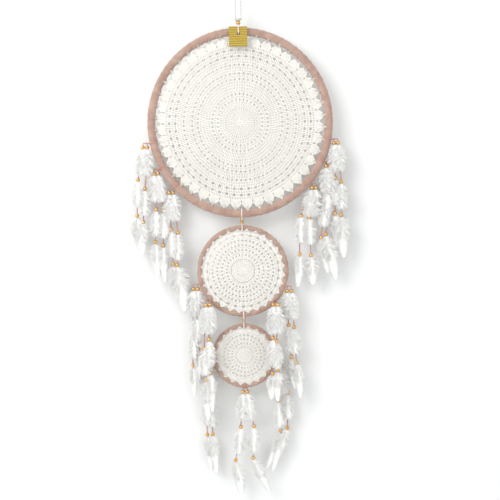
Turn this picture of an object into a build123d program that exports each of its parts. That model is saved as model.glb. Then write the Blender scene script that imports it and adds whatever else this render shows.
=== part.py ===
from build123d import *
import os
from math import cos, radians, sin, sqrt, tan

# Three wrapped hoops hang in a chain below a cord loop.
# The origin is the inside of that loop, at its top, where a nail or hook carries the load.
# +X is to the right, +Y points to the wall behind, +Z is up, all lengths are millimetres.

os.makedirs("parts", exist_ok=True)

# ---- driving dimensions ----
WRAP_THICKNESS = 1.6
WRAP_GAP = 0.05
DOILY_THICKNESS = 1.6
TIP_GRIP = 1.0  # how far a doily point is caught under the wrap
# name: (half width, half height, centre z, tube radius, doily points, depth of a point)
# Half width and half height are of the hoop's outer edge. The large one is a little oval.
HOOPS = {
    "large": (205.5, 210.5, -291.5, 8.5, 40, 16.0),
    "middle": (101.5, 101.5, -619.5, 5.75, 28, 9.0),
    "small": (71.5, 71.5, -806.5, 5.0, 20, 7.0),
}
CORD_DIAMETER = 4.0
HOOK_RADIUS = 4.0
KNOT_HEIGHT = 4.4
TOP_BEAD_RADIUS = 5.2
TOP_BEAD_Z = -71.0
TIE_DIAMETER = 3.0
TAG_WIDTH, TAG_HEIGHT, TAG_HOLE_RADIUS = 40.6, 44.0, 3.8
TAG_TOP_Z, TAG_HOLE_Z, TAG_Y = -81.5, -97.0, -13.7
LEAF_THICKNESS, LEAF_GAP, LEAF_PEEK = 0.5, 0.7, 2.4
LINK_BEAD_RADIUS = 3.8
LINK_CORD_RADIUS = 1.2
LINK_SLACK = 1.1  # between a link's ring and the tube in it
LOOP_RADIUS = 1.1  # of the lace that is looped round a hoop
LOOP_SLACK = 0.5
NOTCH = 0.4  # room in a doily round a loop that passes through it
LACE_DIAMETER = 2.6
BEAD_RADIUS = 4.5
BORE_RADIUS = 1.2
PIVOT_HEIGHT = 2.5  # of a pivot above its ring bead's centre
BALL_RADIUS, SOCKET_RADIUS = 1.5, 1.7
NECK = 5.0  # upright part of the loop's end, above the pivot
FEATHER_THICKNESS = 1.2
FLUFF_LENGTH, FLUFF_WIDTH, FLUFF_THICKNESS = 42.0, 11.0, 3.0

# Each dangler: its hoop, its y, its pivot's z, then two laces and two feather tips.
# A lace: x below the ring bead, half way, at the middle bead, half way, at the end bead,
# then z of the middle bead and of the end bead. A feather: its tip's x and z, and its width.
DANGLERS = {
    "left_1": ("large", 0, -340,
               [(-216, -223, -228, -231, -231, -414, -493), (-206.4, -209, -213, -217, -218, -434, -507)],
               [(-226, -566, 22), (-222, -578, 20)]),
    "left_2": ("large", 0, -398,
               [(-193, -191, -189, -190, -192, -480, -552), (-183.2, -178, -172, -173, -175, -484, -560)],
               [(-188, -632, 18), (-172, -640, 14)]),
    "left_3": ("large", 0, -441,
               [(-160.4, -159, -156.5, -155, -154, -525, -602), (-150.8, -146, -142, -143, -144.5, -532, -604)],
               [(-139, -690, 24), (-130, -703, 26)]),
    "right_1": ("large", 0, -338,
                [(206.4, 208, 208.5, 207, 206, -418, -496), (216, 219, 221, 221, 220, -426, -500)],
                [(212, -575, 18), (224, -592, 22)]),
    "right_2": ("large", 0, -388,
                [(188.1, 188, 186, 179, 174, -466, -549), (197.7, 196, 192, 187, 185, -440, -542)],
                [(188, -625, 18), (206, -640, 22)]),
    "right_3": ("large", 0, -436,
                [(155.8, 142, 130, 127, 126, -500, -585), (165.4, 157, 149, 150, 151, -504, -588)],
                [(121, -655, 16), (155, -650, 20)]),
    "left_4": ("middle", 0, -655,
               [(-110.1, -112, -111, -113, -114.5, -752, -826), (-100.5, -103, -105, -103, -101, -716, -790)],
               [(-113, -895, 14), (-104, -862, 14)]),
    "left_5": ("middle", -22, -690,
               [(-83, -86, -88, -86, -84, -787, -858), (-73.4, -76, -77, -76, -75, -768, -842)],
               [(-82, -944, 16), (-72, -925, 14)]),
    "right_4": ("middle", 0, -663,
                [(97.1, 98, 98.5, 101, 104, -741, -812), (106.7, 109, 111, 113, 114, -746, -824)],
                [(110, -880, 14), (122, -900, 16)]),
    "right_5": ("middle", -22, -692,
                [(65.4, 64, 63, 62, 61, -767, -845), (75, 73, 71, 72, 73, -775, -838)],
                [(58, -900, 16), (72, -905, 14)]),
    "left_6": ("small", 14, -820,
               [(-84, -86, -87, -87, -86, -900, -982), (-74.4, -75, -76, -75, -74, -905, -981)],
               [(-80, -1060, 18), (-66, -1065, 16)]),
    "right_6": ("small", 14, -828,
                [(71, 72, 73, 75, 77, -909, -976), (80.6, 90, 96, 94, 92, -891, -970)],
                [(44, -1061, 16), (58, -1065, 16)]),
    "bottom": ("small", 0, -884,
               [(-4.8, -8, -11, -18, -24, -964, -1037), (4.8, 12, 18, 17, 15, -963, -1033)],
               [(-13, -1109, 20), (50, -1105, 16)]),
}


def save(name, solids):
    shape = solids[0] if len(solids) == 1 else Compound(children=solids)
    export_step(shape, f"parts/{name}.step")


# ---- cords ----
def cord(name, points, diameter):
    """A round tube along straight runs that tangent arcs join."""
    route = [Vector(*p) for p in points]
    runs = [b - a for a, b in zip(route, route[1:])]
    radii = []
    for run, following in zip(runs, runs[1:]):
        turn = radians(run.get_angle(following))
        radii.append(0.45 * min(run.length, following.length) / tan(turn / 2))
    path = FilletPolyline(*route, radius=radii)
    tube = sweep(Plane(origin=path @ 0, z_dir=path % 0) * Circle(diameter / 2), path=path)
    share = tube.volume / (path.length * 3.14159265 * diameter**2 / 4)
    print(f"{name}: {path.length:.0f} mm long, least radius {min(radii):.0f} mm, volume x{share:.3f}")
    return tube.solid()


def rod(start, end, radius):
    start, end = Vector(*start), Vector(*end)
    plane = Plane(origin=start, z_dir=end - start)
    length = (end - start).length
    return plane * Cylinder(radius, length, align=(Align.CENTER, Align.CENTER, Align.MIN))


def ball(centre, radius):
    return Pos(*centre) * Sphere(radius)


# ---- hoops and doilies ----
def centreline(hoop):
    """Half width and half height of the line in the middle of a hoop's tube."""
    half_width, half_height, centre_z, tube, _, _ = HOOPS[hoop]
    return half_width - tube, half_height - tube, centre_z


def ring_along(hoop, outer, inner=0.0):
    """A tube that follows a hoop's centreline, hollow if inner is given."""
    a, b, centre_z = centreline(hoop)
    major, minor = max(a, b), min(a, b)
    upright = Plane(origin=(0, 0, centre_z), x_dir=(0, 0, 1), z_dir=(0, 1, 0))
    if a == b:
        body = upright * Torus(a, outer)
        return body - upright * Torus(a, inner) if inner else body
    path = upright * Edge.make_ellipse(major, minor)
    section = Plane(origin=path @ 0, z_dir=path % 0)
    face = section * Circle(outer)
    if inner:
        face = face - section * Circle(inner)
    return sweep(face, path=path)


def doily(hoop):
    """A flat cloth with one point for each place where the wrap catches it."""
    half_width, half_height, centre_z, tube, count, depth = HOOPS[hoop]
    grip = 2 * tube - TIP_GRIP
    corners = []
    for k in range(2 * count):
        angle = radians(90 + k * 180 / count)
        inset = grip if k % 2 else grip + depth
        corners.append(((half_width - inset) * cos(angle), centre_z + (half_height - inset) * sin(angle)))
    face = Plane.XZ * make_face(Polyline(*corners, close=True))
    cloth = extrude(face, amount=DOILY_THICKNESS / 2, both=True)
    for name, data in DANGLERS.items():
        if data[0] == hoop:
            cloth -= loop_ring(name, LOOP_RADIUS + NOTCH)
    return cloth


# ---- laces, beads and feathers of one dangler ----
def lace_points(dangler, lace):
    """The lace bows a little to the front and the back between its beads."""
    _, y, pivot_z, _, _ = DANGLERS[dangler]
    top, upper, middle, lower, end, middle_z, end_z = lace
    top_z = pivot_z - SOCKET_RADIUS - 0.3
    return [
        (top, y, top_z),
        (upper, y + 1.2, (top_z + middle_z) / 2),
        (middle, y, middle_z),
        (lower, y - 1.2, (middle_z + end_z) / 2),
        (end, y, end_z),
    ]


def bored_bead(x, y, z, radius=BEAD_RADIUS, bore=BORE_RADIUS):
    return Pos(x, y, z) * (Sphere(radius) - Cylinder(bore, 3 * radius))


def ring_bead(x, y, pivot_z):
    """Its mouth is a countersunk socket, in which the ball on the hoop's loop turns."""
    bead = bored_bead(x, y, pivot_z - PIVOT_HEIGHT)
    mouth = Cone(SOCKET_RADIUS, SOCKET_RADIUS + 4 * tan(radians(38)), 4,
                 align=(Align.CENTER, Align.CENTER, Align.MIN))
    return bead - Pos(x, y, pivot_z) * (mouth + Sphere(SOCKET_RADIUS))


def leaf(root, tip, width, y, thickness):
    """A flat blade between two arcs."""
    root, tip = Vector(root[0], y, root[1]), Vector(tip[0], y, tip[1])
    along = (tip - root).normalized()
    side = Vector(along.Z, 0, -along.X) * (width / 2)
    middle = (root + tip) * 0.5
    edges = [ThreePointArc(root, middle + side, tip), ThreePointArc(tip, middle - side, root)]
    face = make_face(Curve() + edges)
    return extrude(face, amount=thickness / 2, dir=(0, 1, 0), both=True)


def loop_place(dangler):
    """Where a dangler's loop goes round its hoop: the tube's centre there and its direction."""
    hoop, _, pivot_z, laces, _ = DANGLERS[dangler]
    a, b, centre_z = centreline(hoop)
    middle_x = (laces[0][0] + laces[1][0]) / 2
    length = sqrt(middle_x**2 + (pivot_z + NECK - centre_z) ** 2)
    cosine, sine = middle_x / length, (pivot_z + NECK - centre_z) / length
    return Vector(a * cosine, 0, centre_z + b * sine), Vector(-a * sine, 0, b * cosine)


def loop_ring(dangler, thickness):
    centre, tangent = loop_place(dangler)
    ring_radius = HOOPS[DANGLERS[dangler][0]][3] + LOOP_SLACK + LOOP_RADIUS
    return Plane(origin=centre, z_dir=tangent) * Torus(ring_radius, thickness)


def hoop_loop(dangler):
    """The lace round the hoop, with an upright ball end for each ring bead."""
    hoop, y, pivot_z, laces, _ = DANGLERS[dangler]
    centre, tangent = loop_place(dangler)
    ring_radius = HOOPS[hoop][3] + LOOP_SLACK + LOOP_RADIUS
    loop = loop_ring(dangler, LOOP_RADIUS)
    for lace in laces:
        pivot, neck = (lace[0], y, pivot_z), (lace[0], y, pivot_z + NECK)
        outward = Vector(*neck) - centre
        outward = outward - tangent * (outward.dot(tangent) / tangent.dot(tangent))
        foot = centre + outward.normalized() * ring_radius
        loop += rod(foot, neck, LOOP_RADIUS)
        loop += ball(neck, LOOP_RADIUS)
        loop += rod(neck, pivot, LOOP_RADIUS)
        loop += ball(pivot, BALL_RADIUS)
    return loop.solid()


def make_dangler(name):
    _, y, pivot_z, laces, feathers = DANGLERS[name]
    tubes, beads, blades = [], [], []
    for number, (lace, (tip_x, tip_z, width)) in enumerate(zip(laces, feathers)):
        top, _, middle, _, end, middle_z, end_z = lace
        tubes.append(cord(f"{name}_laces", lace_points(name, lace), LACE_DIAMETER))
        beads.append(ring_bead(top, y, pivot_z))
        beads.append(bored_bead(middle, y, middle_z))
        beads.append(bored_bead(end, y, end_z))
        side = -1.5 if number else 1.5
        blades.append(leaf((end, end_z - 3), (tip_x, tip_z), width, y + side, FEATHER_THICKNESS))
        front = y - 0.8 - LACE_DIAMETER / 2 - FLUFF_THICKNESS / 2
        for x, z in ((top, pivot_z - PIVOT_HEIGHT - 3), (middle, middle_z - 3)):
            drift = (middle - top) * 0.35
            blades.append(leaf((x, z), (x + drift, z - FLUFF_LENGTH), FLUFF_WIDTH, front, FLUFF_THICKNESS))
    save(f"{name}_laces", tubes)
    save(f"{name}_beads", beads)
    save(f"{name}_feathers", blades)


# ---- hanging loop, tie and tag ----
def hanging_loop():
    """Two strands side by side from the top bead up and over the hook."""
    side = HOOK_RADIUS + CORD_DIAMETER / 2
    knot_z = TOP_BEAD_Z + TOP_BEAD_RADIUS + 0.3
    foot_z = knot_z + KNOT_HEIGHT / 2
    over = CORD_DIAMETER / 2
    path = Curve() + [
        Line((-side, 0, foot_z), (-side, 0, over - side)),
        ThreePointArc((-side, 0, over - side), (0, 0, over), (side, 0, over - side)),
        Line((side, 0, over - side), (side, 0, foot_z)),
    ]
    section = Plane(origin=(-side, 0, foot_z), z_dir=(0, 0, 1)) * Circle(CORD_DIAMETER / 2)
    strands = sweep(section, path=path)
    # The strands close on a knot that sits on the bead.
    knot = Pos(0, 0, foot_z) * Cylinder(side + over + 0.8, KNOT_HEIGHT)
    return (strands + knot).solid()


def tie_points():
    """From the top bead over the tag's front, through its hole, round the hoop and back up."""
    _, b, centre_z = centreline("large")
    top_z = centre_z + b
    around = [(-11.4 * cos(radians(p)), top_z - 11.4 * sin(radians(p))) for p in (36, 74, 112, 150, 188)]
    front = [(-1.5, TOP_BEAD_Z - 4.6), (-8.5, -76.8), (-16.6, -78.3), (-18.4, -87), (-15.4, -95.4)]
    back = [(8.2, -79.8), (1.5, TOP_BEAD_Z - 4.6)]
    return [(0, y, z) for y, z in front + around + back]


def tag():
    """A folded card: a front leaf, a back leaf that shows past it at the left, and the fold."""
    def card(left, y, width):
        corner = (left, y, TAG_TOP_Z - TAG_HEIGHT)
        return Pos(*corner) * Box(width, LEAF_THICKNESS, TAG_HEIGHT, align=(Align.MIN,) * 3)

    left = -TAG_WIDTH / 2 - 1.0
    front = card(left + LEAF_PEEK, TAG_Y - LEAF_GAP, TAG_WIDTH - LEAF_PEEK)
    back = card(left, TAG_Y + LEAF_GAP - LEAF_THICKNESS, TAG_WIDTH - LEAF_PEEK)
    fold_corner = (left + TAG_WIDTH - 0.6, TAG_Y - LEAF_GAP, TAG_TOP_Z - TAG_HEIGHT)
    fold = Pos(*fold_corner) * Box(0.6, 2 * LEAF_GAP, TAG_HEIGHT, align=(Align.MIN,) * 3)
    middle = card(left + LEAF_PEEK, TAG_Y + LEAF_GAP - LEAF_THICKNESS, TAG_WIDTH - LEAF_PEEK)
    hole = Pos(0, TAG_Y, TAG_HOLE_Z) * Rot(90, 0, 0) * Cylinder(TAG_HOLE_RADIUS, 6)
    return (front + back + middle + fold - hole).solid()


# ---- links between hoops ----
def link(upper, lower):
    """A cord ring round each tube, joined by a strand that carries two beads."""
    _, upper_b, upper_z = centreline(upper)
    _, lower_b, lower_z = centreline(lower)
    above, below = upper_z - upper_b, lower_z + lower_b
    upright = (1, 0, 0)
    cord_solid = rod((0, 0, above - HOOPS[upper][3] - 1), (0, 0, below + HOOPS[lower][3] + 1), LINK_CORD_RADIUS)
    for hoop, z in ((upper, above), (lower, below)):
        ring = Torus(HOOPS[hoop][3] + LINK_SLACK + LINK_CORD_RADIUS, LINK_CORD_RADIUS)
        cord_solid += Plane(origin=(0, 0, z), z_dir=upright) * ring
    middle = (above - HOOPS[upper][3] + below + HOOPS[lower][3]) / 2
    gap = above - HOOPS[upper][3] - below - HOOPS[lower][3]
    radius = min(LINK_BEAD_RADIUS, gap / 4 - 0.15)
    beads = [bored_bead(0, 0, middle + side * (radius + 0.02), radius) for side in (1, -1)]
    return cord_solid.solid(), beads


# ---- build everything ----
save("hanging_loop", [hanging_loop()])
save("top_bead", [bored_bead(0, 0, TOP_BEAD_Z, TOP_BEAD_RADIUS, 1.6)])
save("hoop_tie", [cord("hoop_tie", tie_points(), TIE_DIAMETER)])
save("tag", [tag()])

for hoop, (_, _, _, tube, _, _) in HOOPS.items():
    save(f"{hoop}_hoop_core", [ring_along(hoop, tube - WRAP_THICKNESS - WRAP_GAP).solid()])
    save(f"{hoop}_hoop_wrap", [ring_along(hoop, tube, tube - WRAP_THICKNESS).solid()])
    save(f"{hoop}_doily", [doily(hoop).solid()])
    save(f"{hoop}_lace_loops", [hoop_loop(name) for name, data in DANGLERS.items() if data[0] == hoop])

for number, (upper, lower) in enumerate((("large", "middle"), ("middle", "small")), start=1):
    link_cord, link_beads = link(upper, lower)
    save(f"link_{number}_cord", [link_cord])
    save(f"link_{number}_beads", link_beads)

for name in DANGLERS:
    make_dangler(name)
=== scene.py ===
# %% [markdown]
# # A three-hoop dream catcher
# The real thing is a chain of cane hoops wrapped in suede, each with a crocheted doily inside,
# hung with suede laces, gold beads and white feathers. The frame below holds every rigid part,
# joint and size. This script gives each part the surface and the fine structure of the real one.

# %% Load the frame
import math
import random

import bpy
from mathutils import Euler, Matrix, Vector


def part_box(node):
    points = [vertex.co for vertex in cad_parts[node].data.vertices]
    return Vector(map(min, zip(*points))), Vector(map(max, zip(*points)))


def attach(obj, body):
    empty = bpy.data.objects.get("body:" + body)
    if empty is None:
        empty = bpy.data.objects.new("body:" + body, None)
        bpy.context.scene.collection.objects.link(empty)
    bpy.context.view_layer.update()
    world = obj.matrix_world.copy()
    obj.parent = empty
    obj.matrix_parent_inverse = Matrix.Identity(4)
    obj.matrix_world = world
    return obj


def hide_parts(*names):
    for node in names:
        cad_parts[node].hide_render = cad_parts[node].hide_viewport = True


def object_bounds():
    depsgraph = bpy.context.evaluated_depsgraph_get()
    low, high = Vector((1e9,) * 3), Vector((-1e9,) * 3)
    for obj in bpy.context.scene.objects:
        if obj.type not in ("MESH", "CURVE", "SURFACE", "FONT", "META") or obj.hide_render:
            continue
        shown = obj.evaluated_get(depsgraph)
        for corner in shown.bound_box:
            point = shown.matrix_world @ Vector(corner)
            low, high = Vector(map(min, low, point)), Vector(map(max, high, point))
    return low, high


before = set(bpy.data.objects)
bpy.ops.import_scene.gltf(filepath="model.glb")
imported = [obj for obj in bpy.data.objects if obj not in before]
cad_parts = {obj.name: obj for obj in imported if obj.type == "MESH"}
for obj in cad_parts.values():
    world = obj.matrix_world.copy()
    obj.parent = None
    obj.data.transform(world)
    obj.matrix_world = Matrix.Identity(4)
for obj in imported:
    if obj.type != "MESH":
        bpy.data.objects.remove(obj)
CAD_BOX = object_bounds()
MM = 0.001
print("CAD box", CAD_BOX)

# %% [markdown]
# ## Camera
# The hanging is seen from straight ahead and leans a touch, as a hanging does when the camera
# isn't held quite level. A long lens a few metres off keeps the hoops round.

# %% Camera
VIEW_HEIGHT = 1.105
CAMERA_DISTANCE = 2.8
CAMERA_ROLL = math.radians(-1.09)
SENSOR = 36.0
VIEW_CENTRE = Vector((0.0165, 0.0, -0.5735))

camera_data = bpy.data.cameras.new("camera")
camera_data.sensor_width = SENSOR
camera_data.lens = SENSOR * CAMERA_DISTANCE / VIEW_HEIGHT
camera_data.clip_end = 50
camera = bpy.data.objects.new("camera", camera_data)
bpy.context.collection.objects.link(camera)
camera.location = VIEW_CENTRE + Vector((0, -CAMERA_DISTANCE, 0))
upright = Euler((math.radians(90), 0, 0)).to_matrix().to_4x4()
roll = Euler((0, 0, CAMERA_ROLL)).to_matrix().to_4x4()
camera.rotation_euler = (upright @ roll).to_euler()
bpy.context.scene.camera = camera
bpy.context.scene.view_settings.view_transform = "Standard"

# %% [markdown]
# ## Shader maths as expressions
# A material is easier to read as a formula than as a list of nodes. `Val` wraps a socket, and
# each operator adds the Math node that it stands for.


# %% Sockets with operators
class Val:
    def __init__(self, tree, socket):
        self.tree, self.socket = tree, socket

    def _math(self, operation, *values):
        return add_node(self.tree, "ShaderNodeMath", {"operation": operation}, dict(enumerate(values)))

    def __add__(self, other):
        return self._math("ADD", self, other)

    def __sub__(self, other):
        return self._math("SUBTRACT", self, other)

    def __rsub__(self, other):
        return self._math("SUBTRACT", other, self)

    def __mul__(self, other):
        return self._math("MULTIPLY", self, other)

    __radd__ = __add__
    __rmul__ = __mul__


def add_node(tree, kind, settings=None, inputs=None, output=0):
    """One way to make any node: its settings first, then the values or links of its sockets."""
    node = tree.nodes.new(kind)
    for key, value in (settings or {}).items():
        if key == "stops":
            ramp = node.color_ramp
            while len(ramp.elements) < len(value):
                ramp.elements.new(0.5)
            for element, (place, colour) in zip(ramp.elements, value):
                element.position, element.color = place, colour
        else:
            setattr(node, key, value)
    for key, value in (inputs or {}).items():
        if isinstance(value, Val):
            tree.links.new(value.socket, node.inputs[key])
        else:
            node.inputs[key].default_value = value
    return Val(tree, node.outputs[output])


# %% [markdown]
# ## Materials
# Each finish varies over its surface: cotton has twisted thread, suede a blotchy nap, card foil
# a brushed grain. `finish` joins such a colour, roughness and height to one Principled shader.


# %% Material helpers
def rgba(colour):
    return (*colour, 1.0)


def new_material(name):
    material = bpy.data.materials.new(name)
    material.use_nodes = True
    material.node_tree.nodes.clear()
    return material, material.node_tree


def object_coordinates(tree):
    return add_node(tree, "ShaderNodeTexCoord", output=3)


def noise(tree, scale, detail=3.0):
    inputs = {"Vector": object_coordinates(tree), "Scale": scale, "Detail": detail}
    return add_node(tree, "ShaderNodeTexNoise", {}, inputs)


def ramp(tree, factor, stops):
    coloured = [(place, rgba(colour)) for place, colour in stops]
    return add_node(tree, "ShaderNodeValToRGB", {"stops": coloured}, {0: factor})


def finish(name, colour, roughness, height=None, depth=0.0002, **fixed):
    """build(tree) functions give the colour, roughness and height of one finish."""
    material, tree = new_material(name)
    inputs = {"Base Color": colour(tree), "Roughness": roughness(tree)}
    if height:
        inputs["Normal"] = add_node(tree, "ShaderNodeBump", {}, {
            "Strength": 0.7, "Distance": depth, "Height": height(tree)})
    inputs.update(fixed)
    shader = add_node(tree, "ShaderNodeBsdfPrincipled", {}, inputs)
    add_node_output(tree, shader)
    return material


def add_node_output(tree, shader):
    output = tree.nodes.new("ShaderNodeOutputMaterial")
    tree.links.new(shader.socket, output.inputs["Surface"])


# %% Finishes of the soft parts
def suede(name, dark, light):
    """Nap brushed both ways gives soft blotches over a fine grain."""
    return finish(
        name,
        lambda t: ramp(t, noise(t, 70) * 0.65 + noise(t, 900) * 0.35, [(0.30, dark), (0.72, light)]),
        lambda t: noise(t, 300) * 0.15 + 0.8,
        lambda t: noise(t, 2500, 4) + noise(t, 500),
        0.0004,
        **{"Sheen Weight": 0.35, "Sheen Roughness": 0.5, "Specular IOR Level": 0.2})


ROSE_WRAP = suede("rose_suede_wrap", (0.35, 0.22, 0.175), (0.52, 0.36, 0.29))
ROSE_LACE = suede("rose_lace", (0.40, 0.19, 0.155), (0.62, 0.36, 0.30))

COTTON = finish(
    "ivory_cotton",
    lambda t: ramp(t, noise(t, 45) * 0.5 + noise(t, 700) * 0.5, [
        (0.28, (0.88, 0.85, 0.78)), (0.68, (0.97, 0.955, 0.905))]),
    lambda t: noise(t, 400) * 0.1 + 0.78,
    lambda t: noise(t, 2200),
    0.0003,
    **{"Sheen Weight": 0.25, "Specular IOR Level": 0.3})

# The white cotton cord is coloured grey all over. This is painted shade, standing in for the shade that makes
# the cord show against the pale wall.
CORD_WHITE_WITH_PAINTED_SHADE = finish(
    "white_cord",
    lambda t: ramp(t, noise(t, 350), [(0.3, (0.60, 0.61, 0.58)), (0.7, (0.78, 0.78, 0.75))]),
    lambda t: noise(t, 400) * 0.1 + 0.8,
    lambda t: noise(t, 1800),
    0.0003,
    **{"Sheen Weight": 0.3})

PINK_CORD = finish(
    "pale_pink_cord",
    lambda t: ramp(t, noise(t, 350), [(0.3, (0.80, 0.66, 0.63)), (0.7, (0.92, 0.82, 0.79))]),
    lambda t: noise(t, 400) * 0.1 + 0.8,
    lambda t: noise(t, 1800),
    0.0003,
    **{"Sheen Weight": 0.3})

FEATHER = finish(
    "white_feather",
    lambda t: ramp(t, noise(t, 60), [(0.3, (0.93, 0.92, 0.90)), (0.7, (0.98, 0.975, 0.96))]),
    lambda t: noise(t, 200) * 0.1 + 0.7,
    None,
    **{"Sheen Weight": 0.6, "Specular IOR Level": 0.2})

# %% Finishes of the hard parts
GOLD_BEAD = finish(
    "gold_beads",
    lambda t: ramp(t, noise(t, 220), [(0.3, (0.60, 0.33, 0.10)), (0.7, (0.86, 0.56, 0.24))]),
    lambda t: noise(t, 700) * 0.18 + 0.16,
    lambda t: noise(t, 900),
    0.00008,
    Metallic=1.0)

CANE = finish(
    "rattan",
    lambda t: ramp(t, noise(t, 120), [(0.3, (0.45, 0.30, 0.16)), (0.7, (0.68, 0.50, 0.30))]),
    lambda t: noise(t, 200) * 0.2 + 0.5,
    lambda t: noise(t, 900))


def foil_rows(tree):
    """Fine pressed rows, broken up like a worn stamping: an ornament, not writing."""
    across = add_node(tree, "ShaderNodeTexWave", {"bands_direction": "Z"}, {
        "Vector": object_coordinates(tree), "Scale": 62.0, "Distortion": 1.6, "Detail": 2.0,
        "Detail Scale": 3.0}, output=1)
    patches = add_node(tree, "ShaderNodeTexNoise", {}, {
        "Vector": object_coordinates(tree), "Scale": 420.0, "Detail": 2.0})
    return across * patches


GOLD_CARD = finish(
    "gold_card",
    lambda t: ramp(t, foil_rows(t), [(0.12, (0.60, 0.44, 0.10)), (0.42, (0.36, 0.25, 0.04))]),
    lambda t: noise(t, 600) * 0.2 + 0.32,
    lambda t: 1 - foil_rows(t),
    0.0002,
    Metallic=0.75)

# %% [markdown]
# ## Geometry Nodes helpers
# A tree is written once with named inputs, then used on as many objects as need it.
# `run_tree` sets the inputs by their identifiers, evaluates the object and keeps a plain mesh.


# %% Tree building
def new_tree(name, sockets):
    """A tree whose group inputs are (name, socket type) pairs."""
    tree = bpy.data.node_groups.new(name, "GeometryNodeTree")
    tree.interface.new_socket("Geometry", in_out="OUTPUT", socket_type="NodeSocketGeometry")
    for label, kind in sockets:
        tree.interface.new_socket(label, in_out="INPUT", socket_type=kind)
    source = tree.nodes.new("NodeGroupInput")
    return tree, {label: Val(tree, source.outputs[label]) for label, _ in sockets}


def maths(tree):
    """A function that adds one Math node to the tree and gives back its result."""
    return lambda operation, *values: add_node(
        tree, "ShaderNodeMath", {"operation": operation}, dict(enumerate(values)))


def end_tree(tree, geometry, material):
    solid = add_node(tree, "GeometryNodeRealizeInstances", {}, {0: geometry})
    painted = add_node(tree, "GeometryNodeSetMaterial", {}, {0: solid})
    painted.socket.node.inputs["Material"].default_value = material
    output = tree.nodes.new("NodeGroupOutput")
    tree.links.new(painted.socket, output.inputs["Geometry"])


def run_tree(tree, values):
    """The tree's result as a plain mesh."""
    carrier = bpy.data.objects.new("carrier", bpy.data.meshes.new("carrier"))
    bpy.context.collection.objects.link(carrier)
    modifier = carrier.modifiers.new("nodes", "NODES")
    modifier.node_group = tree
    identifiers = {item.name: item.identifier for item in tree.interface.items_tree
                   if item.in_out == "INPUT"}
    for label, value in values.items():
        modifier[identifiers[label]] = value
    graph = bpy.context.evaluated_depsgraph_get()
    graph.update()
    mesh = bpy.data.meshes.new_from_object(carrier.evaluated_get(graph))
    bpy.data.objects.remove(carrier)
    return mesh


def join_meshes(name, meshes, material):
    vertices, faces = [], []
    for mesh in meshes:
        offset = len(vertices)
        vertices.extend(tuple(v.co) for v in mesh.vertices)
        faces.extend(tuple(offset + i for i in p.vertices) for p in mesh.polygons)
    return make_piece(name, vertices, faces, material)


def make_piece(name, vertices, faces, material, smooth=True):
    mesh = bpy.data.meshes.new(name)
    mesh.from_pydata(vertices, [], faces)
    mesh.update()
    if smooth:
        mesh.polygons.foreach_set("use_smooth", [True] * len(mesh.polygons))
    mesh.materials.append(material)
    piece = bpy.data.objects.new(name, mesh)
    bpy.context.collection.objects.link(piece)
    return piece


# %% [markdown]
# ## Where the danglers hang
# Each dangler has two laces. A lace is given by its x below the ring bead, half way, at the
# middle bead, half way and at the end bead, then the heights of the middle and end beads.
# A feather is given by its tip and its width. These are the design's own places, in millimetres.

# %% Dangler table
DANGLERS = {
    "left_1": ("large", 0, -340,
               [(-216, -223, -228, -231, -231, -414, -493), (-206.4, -209, -213, -217, -218, -434, -507)],
               [(-226, -566, 22), (-222, -578, 20)]),
    "left_2": ("large", 0, -398,
               [(-193, -191, -189, -190, -192, -480, -552), (-183.2, -178, -172, -173, -175, -484, -560)],
               [(-188, -632, 18), (-172, -640, 14)]),
    "left_3": ("large", 0, -441,
               [(-160.4, -159, -156.5, -155, -154, -525, -602),
                (-150.8, -146, -142, -143, -144.5, -532, -604)],
               [(-139, -690, 24), (-130, -703, 26)]),
    "right_1": ("large", 0, -338,
                [(206.4, 208, 208.5, 207, 206, -418, -496), (216, 219, 221, 221, 220, -426, -500)],
                [(212, -575, 18), (224, -592, 22)]),
    "right_2": ("large", 0, -388,
                [(188.1, 188, 186, 179, 174, -466, -549), (197.7, 196, 192, 187, 185, -440, -542)],
                [(188, -625, 18), (206, -640, 22)]),
    "right_3": ("large", 0, -436,
                [(155.8, 142, 130, 127, 126, -500, -585), (165.4, 157, 149, 150, 151, -504, -588)],
                [(121, -655, 16), (155, -650, 20)]),
    "left_4": ("middle", 0, -655,
               [(-110.1, -112, -111, -113, -114.5, -752, -826), (-100.5, -103, -105, -103, -101, -716, -790)],
               [(-113, -895, 14), (-104, -862, 14)]),
    "left_5": ("middle", -22, -690,
               [(-83, -86, -88, -86, -84, -787, -858), (-73.4, -76, -77, -76, -75, -768, -842)],
               [(-82, -944, 16), (-72, -925, 14)]),
    "right_4": ("middle", 0, -663,
                [(97.1, 98, 98.5, 101, 104, -741, -812), (106.7, 109, 111, 113, 114, -746, -824)],
                [(110, -880, 14), (122, -900, 16)]),
    "right_5": ("middle", -22, -692,
                [(65.4, 64, 63, 62, 61, -767, -845), (75, 73, 71, 72, 73, -775, -838)],
                [(58, -900, 16), (72, -905, 14)]),
    "left_6": ("small", 14, -820,
               [(-84, -86, -87, -87, -86, -900, -982), (-74.4, -75, -76, -75, -74, -905, -981)],
               [(-80, -1060, 18), (-66, -1065, 16)]),
    "right_6": ("small", 14, -828,
                [(71, 72, 73, 75, 77, -909, -976), (80.6, 90, 96, 94, 92, -891, -970)],
                [(44, -1061, 16), (58, -1065, 16)]),
    "bottom": ("small", 0, -884,
               [(-4.8, -8, -11, -18, -24, -964, -1037), (4.8, 12, 18, 17, 15, -963, -1033)],
               [(-13, -1109, 20), (50, -1105, 16)]),
}
SOCKET_DEPTH = 2.0  # from a dangler's pivot down to where its lace starts


def lace_route(name, lace):
    """The lace's control points, in metres: it bows a little between its beads."""
    _, y, pivot_z, _, _ = DANGLERS[name]
    top, upper, middle, lower, end, middle_z, end_z = lace
    top_z = pivot_z - SOCKET_DEPTH
    points = [
        (top, y, top_z),
        (upper, y + 1.2, (top_z + middle_z) / 2),
        (middle, y, middle_z),
        (lower, y - 1.2, (middle_z + end_z) / 2),
        (end, y, end_z),
    ]
    return [Vector(p) * MM for p in points]


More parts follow.
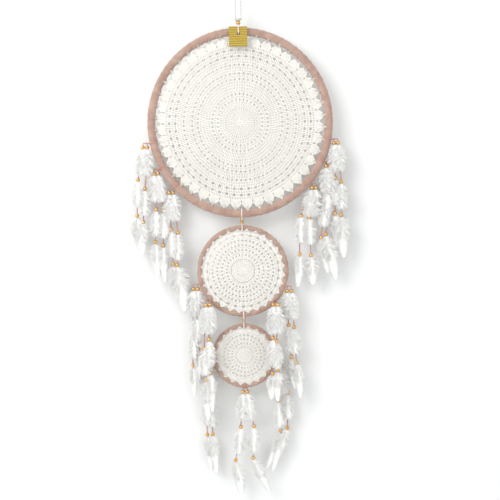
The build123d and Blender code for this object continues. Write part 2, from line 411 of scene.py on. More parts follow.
# %% [markdown]
# ## Laces and cords
# A lace is a flat suede strip about 3 mm wide. It follows one smooth spline through its beads and
# turns a little on the way, because nothing keeps the strip's face to the front. A cotton cord
# is two plies twisted round each other, along the same kind of spline.


# %% Sweeping along a spline
def smooth_line(points):
    """Points read from the NURBS spline that has these control points."""
    curve = bpy.data.curves.new("route", "CURVE")
    curve.dimensions = "3D"
    spline = curve.splines.new("NURBS")
    spline.points.add(len(points) - 1)
    for target, point in zip(spline.points, points):
        target.co = (*point, 1.0)
    spline.order_u = 3
    spline.use_endpoint_u = True
    spline.resolution_u = 14
    route = bpy.data.objects.new("route", curve)
    bpy.context.collection.objects.link(route)
    mesh = bpy.data.meshes.new_from_object(route)
    line = [v.co.copy() for v in mesh.vertices]
    bpy.data.objects.remove(route)
    return line


def line_length(line):
    return sum((b - a).length for a, b in zip(line, line[1:]))


def frames_along(line):
    """A point, a side and a facing direction at each point, with no sudden turn."""
    facing = Vector((0, 1, 0))
    result = []
    for i, point in enumerate(line):
        along = (line[min(i + 1, len(line) - 1)] - line[max(i - 1, 0)]).normalized()
        facing = (facing - along * facing.dot(along)).normalized()
        result.append((point, facing.cross(along), facing))
    return result


def sweep(line, section, turn=lambda share: 0.0, size=lambda share: 1.0):
    """Closed tube of a section, [(across, deep)], with its two ends capped."""
    vertices, faces, n = [], [], len(section)
    stations = frames_along(line)
    for i, (point, side, facing) in enumerate(stations):
        share = i / (len(stations) - 1)
        angle, scale = turn(share), size(share)
        c, s = math.cos(angle), math.sin(angle)
        for across, deep in section:
            u, v = (across * c - deep * s) * scale, (across * s + deep * c) * scale
            vertices.append(point + side * u + facing * v)
    for i in range(len(stations) - 1):
        for k in range(n):
            a, b = i * n + k, i * n + (k + 1) % n
            faces.append((a, b, b + n, a + n))
    faces.append(tuple(reversed(range(n))))
    faces.append(tuple(range(len(vertices) - n, len(vertices))))
    return vertices, faces


def merge(parts):
    vertices, faces = [], []
    for part_vertices, part_faces in parts:
        offset = len(vertices)
        vertices.extend(part_vertices)
        faces.extend(tuple(offset + i for i in f) for f in part_faces)
    return vertices, faces


def circle_section(radius, sides=8, away=0.0, angle=0.0):
    """A round section, away from the line by a distance in the direction of angle."""
    return [(away * math.cos(angle) + radius * math.cos(2 * math.pi * k / sides),
             away * math.sin(angle) + radius * math.sin(2 * math.pi * k / sides)) for k in range(sides)]


def plied_cord(line, diameter, pitch):
    """Two plies twisted round each other."""
    turns = line_length(line) / pitch
    ply = diameter * 0.29
    parts = []
    for start in (0.0, math.pi):
        section = circle_section(ply, 8, diameter / 2 - ply, start)
        parts.append(sweep(line, section, lambda share: share * turns * 2 * math.pi))
    return merge(parts)


def refine(line, times):
    """More points on the line, so that a twist stays round."""
    result = []
    for a, b in zip(line, line[1:]):
        result += [a.lerp(b, k / times) for k in range(times)]
    return result + [line[-1]]


# %% Laces
LACE_WIDTH, LACE_THICKNESS = 3.0 * MM, 1.3 * MM
LACE_TWIST = 2.4  # radians from end to end, at most half of it each way
LACE_SECTION = [(x * LACE_WIDTH / 2, y * LACE_THICKNESS / 2) for x, y in (
    (1, 0), (0.9, 0.8), (0.45, 1), (-0.45, 1), (-0.9, 0.8), (-1, 0),
    (-0.9, -0.8), (-0.45, -1), (0.45, -1), (0.9, -0.8))]

LACE_LINES = {}
for name, (_, _, _, laces, _) in DANGLERS.items():
    for number, lace in enumerate(laces, start=1):
        line = smooth_line(lace_route(name, lace))
        LACE_LINES[name, number] = line
        drift = random.Random(f"{name}{number}").uniform(-1.0, 1.0)
        vertices, faces = sweep(line, LACE_SECTION, lambda share: drift * (share - 0.5) * LACE_TWIST)
        piece = make_piece(f"{name}_lace_{number}", vertices, faces, ROSE_LACE)
        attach(piece, f"dangler_{name}")
        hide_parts(f"{name}_laces")
        line_length(line)
print(len(LACE_LINES), "laces")

# %% Hanging loop and hoop tie
LOOP_CORD, LOOP_PITCH = 4.4 * MM, 14 * MM
KNOT_CORD, KNOT_PITCH = 3.6 * MM, 12 * MM
TIE_CORD, TIE_PITCH = 3.2 * MM, 10 * MM

LOOP_ROUTE = [(-6, 0, -62), (-6, 0, -44), (-6, 0, -26), (-6.2, 0, -10), (-6.8, 0, 2.6),
              (6.8, 0, 2.6), (6.2, 0, -10), (6, 0, -26), (6, 0, -44), (6, 0, -62)]
loop_line = smooth_line([Vector(p) * MM for p in LOOP_ROUTE])
vertices, faces = plied_cord(refine(loop_line, 3), LOOP_CORD, LOOP_PITCH)
loop = make_piece("hanging_loop_cord", vertices, faces, CORD_WHITE_WITH_PAINTED_SHADE)
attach(loop, "hanger")
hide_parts("hanging_loop")
line_length(loop_line)

KNOT_TURNS, KNOT_RADIUS, KNOT_Z, KNOT_POINTS = 2, 6.6, -63.4, 72
knot_line = [Vector((KNOT_RADIUS * math.cos(a), KNOT_RADIUS * math.sin(a) * 0.8,
                     KNOT_Z + 1.6 * math.sin(a / 2) + 0.9 * math.cos(a))) * MM
             for a in (2 * math.pi * KNOT_TURNS * k / KNOT_POINTS for k in range(KNOT_POINTS))]
knot_vertices, knot_faces = plied_cord(knot_line, KNOT_CORD, KNOT_PITCH)
knot = make_piece("hanging_loop_knot", knot_vertices, knot_faces, CORD_WHITE_WITH_PAINTED_SHADE)
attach(knot, "hanger")
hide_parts("hanging_loop")

TIE_RADIUS, TUBE_TOP = 11.4, -89.5
TIE_ANGLES = [math.radians(p) for p in (36, 74, 112, 150, 188)]
TIE_ROUTE = [(0, -1.5, -75.6), (0, -8.5, -76.8), (0, -16.6, -78.3), (0, -18.4, -87), (0, -15.4, -95.4)]
TIE_ROUTE += [(0, -TIE_RADIUS * math.cos(p), TUBE_TOP - TIE_RADIUS * math.sin(p)) for p in TIE_ANGLES]
TIE_ROUTE += [(0, 8.2, -79.8), (0, 1.5, -75.6)]
tie_line = smooth_line([Vector(p) * MM for p in TIE_ROUTE])
vertices, faces = plied_cord(refine(tie_line, 2), TIE_CORD, TIE_PITCH)
tie = make_piece("hoop_tie_cord", vertices, faces, PINK_CORD)
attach(tie, "tie")
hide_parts("hoop_tie")
line_length(tie_line)

# %% [markdown]
# ## The suede wrap
# A strip of suede is wound round each cane hoop, each turn over the edge of the last. So the
# tube's radius climbs across a turn and drops at the strip's edge, and the edge runs as a screw
# round the tube. The surface is a rule, so it is worked out point by point.

# %% Wraps
HOOPS = {}
for name in ("large", "middle", "small"):
    low, high = (Vector(corner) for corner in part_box(f"{name}_hoop_wrap"))
    tube = (high.y - low.y) / 2
    HOOPS[name] = {
        "a": (high.x - low.x) / 2, "b": (high.z - low.z) / 2, "z": (high.z + low.z) / 2, "tube": tube}
    print(name, "hoop", HOOPS[name])

WRAP_PITCH = {"large": 15 * MM, "middle": 11.5 * MM, "small": 10.5 * MM}
WRAP_STEP = 0.8 * MM
FULLNESS = {"large": 0.8 * MM, "middle": 0.2 * MM, "small": 0.2 * MM}
CREASE = 0.12 * MM
CLIMB = 0.85  # the share of a turn over which the strip climbs before its edge drops
SAMPLES_PER_TURN, SIDES = 12, 28


def wrap_mesh(hoop, pitch):
    size = HOOPS[hoop]
    tube = size["tube"] + FULLNESS[hoop]
    a, b = size["a"] - tube, size["b"] - tube
    length = math.pi * (3 * (a + b) - math.sqrt((3 * a + b) * (a + 3 * b)))
    turns = round(length / pitch)
    count = turns * SAMPLES_PER_TURN
    wander = random.Random(hoop)
    phases = [wander.uniform(0, 2 * math.pi) for _ in range(4)]
    vertices, faces = [], []
    for i in range(count):
        t = 2 * math.pi * i / count
        centre = Vector((a * math.sin(t), 0, size["z"] + b * math.cos(t)))
        outward = Vector((math.sin(t) / a, 0, math.cos(t) / b)).normalized()
        uneven = 0.11 * math.sin(7 * t + phases[0]) + 0.09 * math.sin(17 * t + phases[1])
        for k in range(SIDES):
            p = 2 * math.pi * k / SIDES
            place = (turns * i / count - k / SIDES + uneven) % 1.0
            step = WRAP_STEP * (min(place / CLIMB, (1 - place) / (1 - CLIMB)) - 1.0)
            crease = CREASE * math.sin(3 * p + 11 * t + phases[2])
            radius = tube + step + crease * 0.5
            around = outward * math.cos(p) + Vector((0, math.sin(p), 0))
            vertices.append(centre + around * radius)
    total = count * SIDES
    for i in range(count):
        for k in range(SIDES):
            first, second = i * SIDES + k, i * SIDES + (k + 1) % SIDES
            faces.append((first, second, (second + SIDES) % total, (first + SIDES) % total))
    return vertices, [tuple(reversed(f)) for f in faces]


for name, pitch in WRAP_PITCH.items():
    vertices, faces = wrap_mesh(name, pitch)
    wrap = make_piece(f"{name}_suede_wrap", vertices, faces, ROSE_WRAP)
    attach(wrap, f"{name}_hoop")
    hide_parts(f"{name}_hoop_wrap")
    print(name, "wrap", len(faces), "faces")

# %% [markdown]
# ## Laces looped round the hoops
# Each pair of laces starts as one strip looped round the wrapped tube. The band lies close round
# the tube, and its two ends bend down into the ring beads, where the danglers turn.

# %% Bands and their ends
NECK, BAND_GAP = 5.0, 1.6
NECK_TAPER, NECK_ARCH, NECK_RISE = 0.35, 0.6, 0.8
WALLWARD = Vector((0, 1, 0))


def band_place(name):
    """The tube's centre where a dangler's band goes round it, and the outward direction there."""
    hoop, _, pivot_z, laces, _ = DANGLERS[name]
    size = HOOPS[hoop]
    a, b = size["a"] - size["tube"], size["b"] - size["tube"]
    x = (laces[0][0] + laces[1][0]) / 2 * MM
    z = (pivot_z + NECK) * MM - size["z"]
    reach = math.hypot(x, z)
    centre = Vector((a * x / reach, 0, size["z"] + b * z / reach))
    outward = Vector((x / reach / a, 0, z / reach / b)).normalized()
    return centre, outward


def closed_band(centre, outward, radius):
    """A flat strip round the tube, closed on itself."""
    along = outward.cross(WALLWARD)
    vertices, faces, n, count = [], [], len(LACE_SECTION), 32
    for i in range(count):
        angle = 2 * math.pi * i / count
        away = outward * math.cos(angle) + WALLWARD * math.sin(angle)
        for across, deep in LACE_SECTION:
            vertices.append(centre + away * (radius + deep) + along * across)
    for i in range(count):
        for k in range(n):
            a, b = i * n + k, i * n + (k + 1) % n
            c, d = (b + n) % (count * n), (a + n) % (count * n)
            faces.append((a, b, c, d))
    return vertices, faces


for hoop in HOOPS:
    parts = []
    for name, (its_hoop, y, pivot_z, laces, _) in DANGLERS.items():
        if its_hoop != hoop:
            continue
        centre, outward = band_place(name)
        radius = HOOPS[hoop]["tube"] + BAND_GAP / 2 * MM + FULLNESS[hoop]
        parts.append(closed_band(centre, outward, radius))
        for lace in laces:
            pivot = Vector((lace[0], y, pivot_z)) * MM
            neck = pivot + Vector((0, 0, NECK * MM))
            toward = neck - centre
            along = outward.cross(WALLWARD)
            toward -= along * toward.dot(along)
            foot = centre + toward.normalized() * radius
            bend = Vector((pivot.x, pivot.y, max(neck.z, foot.z) + NECK_RISE * MM))
            arched = foot.lerp(bend, 0.5) + Vector((0, 0, NECK_ARCH * MM))
            line = smooth_line([foot, arched, bend, pivot])
            parts.append(sweep(line, LACE_SECTION, size=lambda share: 1.0 - NECK_TAPER * share))
    vertices, faces = merge(parts)
    bands = make_piece(f"{hoop}_lace_bands", vertices, faces, ROSE_LACE)
    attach(bands, f"{hoop}_hoop")
    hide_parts(f"{hoop}_lace_loops")

# %% [markdown]
# ## Crocheted doilies
# Crochet in the round is a set of rings. In each ring, upright stitches stand side by side,
# or in groups with a hole between them, and a chain of small loops closes the ring. One tree
# makes the upright stitches of a ring, and a second makes the chain, so that a doily is a short
# list of rings: inner and outer radius, groups, stitches in a group, and the share of the ring
# that the stitches fill.


# %% Tree for a ring of stitches
def stitch_tree():
    tree, inputs = new_tree("crochet_ring", [
        ("Groups", "NodeSocketInt"), ("Stitches", "NodeSocketInt"), ("Fill", "NodeSocketFloat"),
        ("Top fill", "NodeSocketFloat"), ("Inner", "NodeSocketFloat"), ("Outer", "NodeSocketFloat"),
        ("Arch", "NodeSocketFloat"), ("Thread", "NodeSocketFloat"), ("Seed", "NodeSocketInt")])
    index = add_node(tree, "GeometryNodeInputIndex")
    math_node = maths(tree)
    group = math_node("FLOOR", math_node("DIVIDE", index + 0.01, inputs["Stitches"]))
    within = index - group * inputs["Stitches"]
    share = math_node("DIVIDE", within + 0.5, inputs["Stitches"]) - 0.5
    step = math_node("DIVIDE", 2 * math.pi, inputs["Groups"])
    low_angle = (group + 0.5 + share * inputs["Fill"]) * step
    high_angle = (group + 0.5 + share * inputs["Top fill"]) * step
    lift = (1 - math_node("ABSOLUTE", share * 2)) * inputs["Arch"]

    def polar(radius, angle):
        return add_node(tree, "ShaderNodeCombineXYZ", {}, {
            0: math_node("SINE", angle) * radius, 2: math_node("COSINE", angle) * radius})

    foot, head = polar(inputs["Inner"], low_angle), polar(inputs["Outer"] + lift, high_angle)
    points = add_node(tree, "GeometryNodePoints", {}, {
        "Count": inputs["Groups"] * inputs["Stitches"], "Position": foot})
    stitch_line = add_node(tree, "ShaderNodeVectorMath", {"operation": "SUBTRACT"}, {0: head, 1: foot})
    length = add_node(tree, "ShaderNodeVectorMath", {"operation": "LENGTH"}, {0: stitch_line}, 1)
    turn = add_node(tree, "FunctionNodeAlignRotationToVector", {"axis": "Z"}, {"Vector": stitch_line})
    vary = add_node(tree, "FunctionNodeRandomValue", {"data_type": "FLOAT"}, {
        2: 0.86, 3: 1.14, "ID": index, "Seed": inputs["Seed"]}, output=1)
    line = add_node(tree, "GeometryNodeCurveQuadraticBezier", {}, {
        "Resolution": 3, "Start": (0, 0, 0), "Middle": (0, 0.42, 0.5), "End": (0, 0, 1.06)})
    section = add_node(tree, "GeometryNodeCurvePrimitiveCircle", {}, {"Resolution": 5, "Radius": 0.5})
    stitch = add_node(tree, "GeometryNodeCurveToMesh", {}, {
        "Curve": line, "Profile Curve": section, "Fill Caps": True})
    size = add_node(tree, "ShaderNodeCombineXYZ", {}, {
        0: inputs["Thread"] * vary, 1: inputs["Thread"] * vary, 2: length})
    placed = add_node(tree, "GeometryNodeInstanceOnPoints", {}, {
        "Points": points, "Instance": stitch, "Rotation": turn, "Scale": size})
    end_tree(tree, placed, COTTON)
    return tree


STITCH_TREE = stitch_tree()


# %% Tree for a ring of chain stitches
def chain_tree():
    tree, inputs = new_tree("crochet_chain", [
        ("Links", "NodeSocketInt"), ("Radius", "NodeSocketFloat"), ("Groups", "NodeSocketInt"),
        ("Arch", "NodeSocketFloat"), ("Thread", "NodeSocketFloat"), ("Wave", "NodeSocketFloat")])
    math_node = maths(tree)
    ring = add_node(tree, "GeometryNodeCurvePrimitiveCircle", {}, {
        "Resolution": inputs["Links"] * 2, "Radius": 1.0})
    index = add_node(tree, "GeometryNodeInputIndex")
    angle = math_node("DIVIDE", index * math.pi, inputs["Links"])
    share = math_node("FRACT", angle * inputs["Groups"] * (0.5 / math.pi)) - 0.5
    lift = (1 - math_node("ABSOLUTE", share * 2)) * inputs["Arch"]
    zigzag = math_node("COSINE", index * math.pi) * inputs["Wave"]
    radius = inputs["Radius"] + lift + zigzag
    place = add_node(tree, "ShaderNodeCombineXYZ", {}, {
        0: math_node("SINE", angle) * radius, 1: zigzag * -0.8, 2: math_node("COSINE", angle) * radius})
    moved = add_node(tree, "GeometryNodeSetPosition", {}, {"Geometry": ring, "Position": place})
    section = add_node(tree, "GeometryNodeCurvePrimitiveCircle", {}, {"Resolution": 4})
    tree.links.new((inputs["Thread"] * 0.5).socket, section.socket.node.inputs["Radius"])
    chain = add_node(tree, "GeometryNodeCurveToMesh", {}, {"Curve": moved, "Profile Curve": section})
    end_tree(tree, chain, COTTON)
    return tree


CHAIN_TREE = chain_tree()

# %% [markdown]
# The three doilies share two kinds of ring. `dense` packs stitches side by side, and `open_ring`
# gives the number of holes, the stitches between them and how much of the ring they fill. At the
# edge, fans of stitches make points, which are tied over the inner face of the tube.


# %% Rings of each doily
def dense(outer):
    return ("dense", outer, 0, 0, 1.0)


def open_ring(outer, holes, stitches, fill):
    return ("open", outer, holes, stitches, fill)


# Outer radii are in millimetres from the doily's middle.
DOILIES = {
    "large": {"over": 1.2, "points": 44, "spacing": 3.8, "thread": 2.42, "rings": [
        dense(6), dense(12), open_ring(18, 24, 1, 0.55), dense(24), dense(29.5), open_ring(35.5, 44, 1, 0.55),
        dense(41.5), dense(47.5), open_ring(54, 36, 2, 0.62), dense(60), open_ring(67, 44, 2, 0.66),
        dense(73.5), dense(80), dense(86.5), dense(93), open_ring(99.5, 60, 2, 0.68), dense(105.5),
        open_ring(112, 66, 2, 0.68), dense(118), dense(124.5), open_ring(131, 78, 2, 0.7), dense(137),
        dense(143.5), open_ring(150.5, 56, 3, 0.7), dense(157), open_ring(164, 60, 3, 0.7), dense(171)]},
    "middle": {"over": 2.2, "points": 28, "spacing": 2.7, "thread": 1.85, "rings": [
        dense(5), dense(9.5), open_ring(14, 22, 1, 0.55), dense(18.5), dense(23),
        open_ring(28.5, 36, 1, 0.58), dense(33), open_ring(38.5, 30, 2, 0.52), dense(43.5),
        open_ring(49, 36, 2, 0.52), dense(54),
        open_ring(59.5, 44, 2, 0.54), dense(64.5), open_ring(70, 50, 2, 0.56), dense(76),
        open_ring(82, 28, 4, 0.66)]},
    "small": {"over": 2.8, "points": 20, "spacing": 2.4, "thread": 1.6, "rings": [
        dense(4.5), open_ring(8.5, 16, 1, 0.55), dense(12.5), dense(16.5), open_ring(21, 30, 1, 0.58),
        dense(25), open_ring(30, 26, 2, 0.48), dense(34), open_ring(39, 30, 2, 0.48), dense(43),
        open_ring(48, 32, 2, 0.5), dense(54)]},
}


EYE_RADIUS = 1.6
CHAIN_SPACING, CHAIN_THREAD, CHAIN_WAVE = 1.15, 0.72, 0.22


def doily_meshes(spec, seed):
    thread, spacing = spec["thread"] * MM, spec["spacing"]
    meshes, inner = [], EYE_RADIUS
    for number, (kind, outer, groups, stitches, fill) in enumerate(spec["rings"]):
        if kind == "dense":
            groups, stitches = max(10, round(math.pi * (inner + outer) / spacing)), 1
        meshes.append(run_tree(STITCH_TREE, {
            "Groups": groups, "Stitches": stitches, "Fill": fill, "Top fill": fill,
            "Inner": inner * MM, "Outer": outer * MM, "Arch": 0.0, "Thread": thread, "Seed": seed + number}))
        meshes.append(run_tree(CHAIN_TREE, {
            "Links": max(12, round(2 * math.pi * outer / spacing / CHAIN_SPACING)), "Radius": outer * MM,
            "Groups": 1, "Arch": 0.0, "Thread": thread * CHAIN_THREAD, "Wave": thread * CHAIN_WAVE}))
        inner = outer
    return meshes, inner


FAN_STITCHES, FAN_FILL, POINT_SHARE = 8, 0.9, 0.72


def edge_meshes(spec, inner, tip, seed):
    """One fan of stitches for each point, and a chain that follows the points."""
    thread, points = spec["thread"] * MM, spec["points"]
    arch = (tip - inner) * POINT_SHARE
    base = tip - arch
    fan = run_tree(STITCH_TREE, {
        "Groups": points, "Stitches": FAN_STITCHES, "Fill": FAN_FILL, "Top fill": FAN_FILL,
        "Inner": inner * MM, "Outer": base * MM, "Arch": arch * MM, "Thread": thread, "Seed": seed})
    edge = run_tree(CHAIN_TREE, {
        "Links": points * FAN_STITCHES, "Radius": base * MM, "Groups": points, "Arch": arch * MM,
        "Thread": thread * 0.95, "Wave": thread * 0.12})
    return [fan, edge]


# Where the points start to lift, and how far clear of the tube they lie.
EDGE_LIFT, EASE = 1.0 * MM, 1.05
for number, (name, spec) in enumerate(DOILIES.items()):
    size = HOOPS[name]
    inside = size["b"] - 2 * size["tube"]
    tip = inside / MM + spec["over"]
    meshes, inner = doily_meshes(spec, 100 * number)
    meshes += edge_meshes(spec, inner, tip, 100 * number + 90)
    doily = join_meshes(f"{name}_crochet", meshes, COTTON)
    oval = (size["a"] - 2 * size["tube"]) / inside
    for vertex in doily.data.vertices:
        x, y, z = vertex.co
        beyond = math.hypot(x, z) - inside + EDGE_LIFT
        if beyond > 0:
            # A point of the doily lies over the tube's inner face, in front.
            depth = min(beyond, size["tube"])
            y -= math.sqrt(size["tube"] ** 2 - (size["tube"] - depth) ** 2) * EASE
        vertex.co = (x * oval, y, z + size["z"])
    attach(doily, f"{name}_hoop")
    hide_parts(f"{name}_doily")
    across = 2 * tip * MM
    across * oval
    math.pi / 4 * across**2 * oval
    print(name, "doily", len(doily.data.polygons), "faces")

# %% [markdown]
# ## Feathers and down
# A feather is a quill with barbs down both sides. Near the tip the barbs lie close and make the
# vane, near the root they are loose down. One tree sets barbs along a quill: its inputs are how
# many, how long, how steep and how loose. Tufts of down use the same tree with other numbers.


# %% Tree for barbs
def barb_tree():
    tree, inputs = new_tree("feather_barbs", [
        ("Start", "NodeSocketVector"), ("Middle", "NodeSocketVector"), ("End", "NodeSocketVector"),
        ("Barbs", "NodeSocketInt"), ("Length", "NodeSocketFloat"), ("Slant", "NodeSocketFloat"),
        ("Loose", "NodeSocketFloat"), ("Spread", "NodeSocketFloat"), ("Thickness", "NodeSocketFloat"),
        ("Fade", "NodeSocketFloat"), ("Seed", "NodeSocketInt")])
    math_node = maths(tree)
    random_value = lambda low, high, shift: add_node(
        tree, "FunctionNodeRandomValue", {"data_type": "FLOAT"}, {
            2: low, 3: high, "Seed": inputs["Seed"] + shift}, output=1)
    quill = add_node(tree, "GeometryNodeCurveQuadraticBezier", {}, {
        "Resolution": 16, "Start": inputs["Start"], "Middle": inputs["Middle"], "End": inputs["End"]})
    points = add_node(tree, "GeometryNodeCurveToPoints", {"mode": "COUNT"}, {
        0: quill, "Count": inputs["Barbs"]})
    tangent = Val(tree, points.socket.node.outputs[1])
    index = add_node(tree, "GeometryNodeInputIndex")

    # Barbs are short at the root and the tip, and stand on alternate sides of the quill.
    share = math_node("DIVIDE", index, inputs["Barbs"])
    rise = math_node("POWER", share + 0.02, 0.35)
    fall = math_node("POWER", 1.02 - share, inputs["Fade"])
    length = rise * fall * inputs["Length"] * random_value(0.78, 1.12, 3)
    side = math_node("MODULO", index, 2.0) * 2 - 1
    slant = inputs["Slant"] * (1.15 - share * 0.55) + random_value(-1.0, 1.0, 5) * inputs["Loose"]
    roll = random_value(-1.0, 1.0, 7) * inputs["Spread"]

    # Each barb points down the quill, rolls a little round it, and then leans out to its side.
    along = add_node(tree, "FunctionNodeAlignRotationToVector", {"axis": "Z"}, {"Vector": tangent})
    level = add_node(tree, "FunctionNodeAlignRotationToVector", {"axis": "Y", "pivot_axis": "Z"}, {
        "Rotation": along, "Vector": (0.0, 1.0, 0.0)})
    swing = add_node(tree, "FunctionNodeAxisAngleToRotation", {}, {"Axis": (0, 1, 0), "Angle": side * slant})
    twist = add_node(tree, "FunctionNodeAxisAngleToRotation", {}, {"Axis": (0, 0, 1), "Angle": roll})
    tilted = add_node(tree, "FunctionNodeRotateRotation", {"rotation_space": "LOCAL"}, {0: level, 1: twist})
    turned = add_node(tree, "FunctionNodeRotateRotation", {"rotation_space": "LOCAL"}, {0: tilted, 1: swing})

    # One thin tapered barb is instanced at every point.
    line = add_node(tree, "GeometryNodeCurveQuadraticBezier", {}, {
        "Resolution": 3, "Start": (0, 0, 0), "Middle": (0.10, 0.03, 0.5), "End": (-0.02, 0.0, 1.0)})
    fraction = add_node(tree, "GeometryNodeSplineParameter")
    tapered = add_node(tree, "GeometryNodeSetCurveRadius", {}, {0: line, "Radius": 1.05 - fraction * 0.85})
    section = add_node(tree, "GeometryNodeCurvePrimitiveCircle", {}, {"Resolution": 3, "Radius": 0.5})
    barb = add_node(tree, "GeometryNodeCurveToMesh", {}, {
        "Curve": tapered, "Profile Curve": section, "Fill Caps": True})
    size = add_node(tree, "ShaderNodeCombineXYZ", {}, {
        0: inputs["Thickness"], 1: inputs["Thickness"] * 0.6, 2: length})
    placed = add_node(tree, "GeometryNodeInstanceOnPoints", {}, {
        "Points": points, "Instance": barb, "Rotation": turned, "Scale": size})
    end_tree(tree, placed, FEATHER)
    return tree


BARB_TREE = barb_tree()


# %% One feather, and one tuft
BARBS_PER_MM, QUILL_RADIUS = 3.4, 0.55


def quill_mesh(start, middle, end):
    line = [start.lerp(middle, t).lerp(middle.lerp(end, t), t) for t in (k / 10 for k in range(11))]
    return sweep(line, circle_section(QUILL_RADIUS * MM, 6), size=lambda share: 1.1 - share * 0.85)


def mesh_of(vertices, faces):
    mesh = bpy.data.meshes.new("part")
    mesh.from_pydata(vertices, [], faces)
    return mesh


def feather_meshes(root, tip, width, seed):
    """A vane from root to tip, with loose down round its root."""
    chance = random.Random(seed)
    start, end = Vector(root) * MM, Vector(tip) * MM
    span = end - start
    bow = Vector((span.z, 0, -span.x)).normalized() * chance.uniform(-0.06, 0.06) * span.length
    middle = (start + end) / 2 + bow + Vector((0, chance.uniform(-3, 1) * MM, 0))
    barbs = round(span.length / MM * BARBS_PER_MM)
    vane = run_tree(BARB_TREE, {
        "Start": start.lerp(end, 0.12), "Middle": middle, "End": end, "Barbs": barbs,
        "Length": width * 1.5 * MM, "Slant": 0.72, "Loose": 0.07, "Spread": 0.16,
        "Thickness": 2.0 * MM, "Fade": 0.62, "Seed": seed})
    down = run_tree(BARB_TREE, {
        "Start": start, "Middle": start.lerp(middle, 0.5), "End": start.lerp(middle, 0.85), "Barbs": 170,
        "Length": width * 1.5 * MM, "Slant": 0.95, "Loose": 0.45, "Spread": 0.7,
        "Thickness": 1.6 * MM, "Fade": 0.25, "Seed": seed + 1})
    return [vane, down, mesh_of(*quill_mesh(start, middle, end))]


def tuft_meshes(root, drift, length, width, seed):
    """Down that bursts out under a bead and hangs round the lace."""
    start = Vector(root) * MM
    end = start + Vector((drift, -2, -length)) * MM
    middle = start.lerp(end, 0.5) + Vector((drift * 0.2, -1.5, 0)) * MM
    wide = run_tree(BARB_TREE, {
        "Start": start, "Middle": middle, "End": end, "Barbs": 230, "Length": width * MM, "Slant": 0.8,
        "Loose": 0.45, "Spread": 0.6, "Thickness": 1.7 * MM, "Fade": 0.3, "Seed": seed})
    core = run_tree(BARB_TREE, {
        "Start": start, "Middle": middle, "End": end, "Barbs": 120, "Length": width * 0.75 * MM, "Slant": 0.5,
        "Loose": 0.25, "Spread": 0.6, "Thickness": 2.4 * MM, "Fade": 0.35, "Seed": seed + 1})
    return [wide, core]


# %% All feathers
BEAD_RADIUS, RING_BEAD_DROP, FEATHER_OFFSET = 4.5, 2.5, 1.5
UPPER_TUFT, LOWER_TUFT = (50, 30), (48, 27)  # length and width of the down, in millimetres
for order, (name, (hoop, y, pivot_z, laces, tips)) in enumerate(DANGLERS.items()):
    meshes = []
    for number, (lace, (tip_x, tip_z, width)) in enumerate(zip(laces, tips)):
        top, _, middle, _, end, middle_z, end_z = lace
        seed = 1000 * (order + 1) + 100 * number
        side = -FEATHER_OFFSET if number else FEATHER_OFFSET
        root = (end, y + side, end_z - BEAD_RADIUS)
        meshes += feather_meshes(root, (tip_x, y + side, tip_z), width, seed)
        ring_root = (top, y - FEATHER_OFFSET, pivot_z - RING_BEAD_DROP - BEAD_RADIUS)
        meshes += tuft_meshes(ring_root, (middle - top) * 0.35, *UPPER_TUFT, seed + 10)
        middle_root = (middle, y - FEATHER_OFFSET, middle_z - BEAD_RADIUS)
        meshes += tuft_meshes(middle_root, (end - middle) * 0.4, *LOWER_TUFT, seed + 20)
    feathers = join_meshes(f"{name}_plumes", meshes, FEATHER)
    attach(feathers, f"dangler_{name}")
    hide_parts(f"{name}_feathers")
    print(name, "feathers", len(feathers.data.polygons), "faces")

# %% [markdown]
# ## Parts that keep their CAD shape
# Beads, tag, cane and link cords are right as they are. Each only needs its finish.

# %% Finishes for carried-over parts
CAD_FINISHES = {
    "_beads": GOLD_BEAD, "top_bead": GOLD_BEAD, "_core": CANE, "_cord": PINK_CORD, "tag": GOLD_CARD}
for name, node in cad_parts.items():
    for ending, material in CAD_FINISHES.items():
        if name.endswith(ending):
            node.data.materials.clear()
            node.data.materials.append(material)

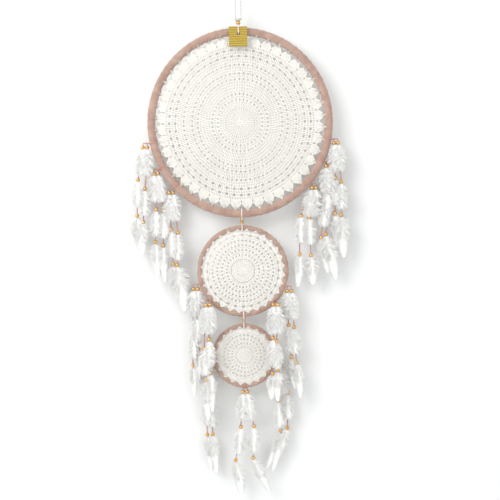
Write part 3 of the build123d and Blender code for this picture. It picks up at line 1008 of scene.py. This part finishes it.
# %% [markdown]
# ## The wall, the floor and the light
# The hanging is shown close to a pale wall, so that its soft shadow falls just right of it.
# The wall's back is see-through, which lets the piece be looked at from behind as well.

# %% Stage
WALL_Y, WALL_TOP, FLOOR_Z, ROOM = 0.036, 2.0, CAD_BOX[0][2] - 0.32, 4.0


def stage_plane(name, corners, material):
    plane = make_piece(name, corners, [(0, 1, 2, 3)], material, smooth=False)
    return plane


def wall_material():
    material, tree = new_material("pale_wall")
    paint = add_node(tree, "ShaderNodeBsdfPrincipled", {}, {
        "Base Color": (0.86, 0.87, 0.865, 1), "Roughness": 0.9})
    clear = add_node(tree, "ShaderNodeBsdfTransparent")
    back = add_node(tree, "ShaderNodeNewGeometry", output=6)
    mixed = add_node(tree, "ShaderNodeMixShader", {}, {0: back, 1: paint, 2: clear})
    add_node_output(tree, mixed)
    return material


PALE_WALL = wall_material()
stage_plane("wall", [
    (-ROOM, WALL_Y, FLOOR_Z), (ROOM, WALL_Y, FLOOR_Z), (ROOM, WALL_Y, WALL_TOP), (-ROOM, WALL_Y, WALL_TOP)],
    PALE_WALL)
stage_plane("floor", [
    (-ROOM, -ROOM, FLOOR_Z), (ROOM, -ROOM, FLOOR_Z), (ROOM, ROOM, FLOOR_Z), (-ROOM, ROOM, FLOOR_Z)],
    PALE_WALL)

# %% Lights
world = bpy.data.worlds.new("studio")
world.use_nodes = True
sky = world.node_tree.nodes["Background"]
sky.inputs["Color"].default_value = (1.0, 1.0, 1.0, 1)
sky.inputs["Strength"].default_value = 0.84
bpy.context.scene.world = world


def area_light(name, place, aim, size, power):
    data = bpy.data.lights.new(name, "AREA")
    data.size, data.energy = size, power
    light = bpy.data.objects.new(name, data)
    bpy.context.collection.objects.link(light)
    light.location = place
    light.rotation_euler = (Vector(aim) - Vector(place)).to_track_quat("-Z", "Y").to_euler()


area_light("key", (-1.5, -1.7, 0.7), VIEW_CENTRE, 1.6, 38)
area_light("fill", (1.8, -2.2, -0.4), VIEW_CENTRE, 1.8, 8)
area_light("back", (-0.9, 2.4, 0.2), VIEW_CENTRE, 2.0, 26)
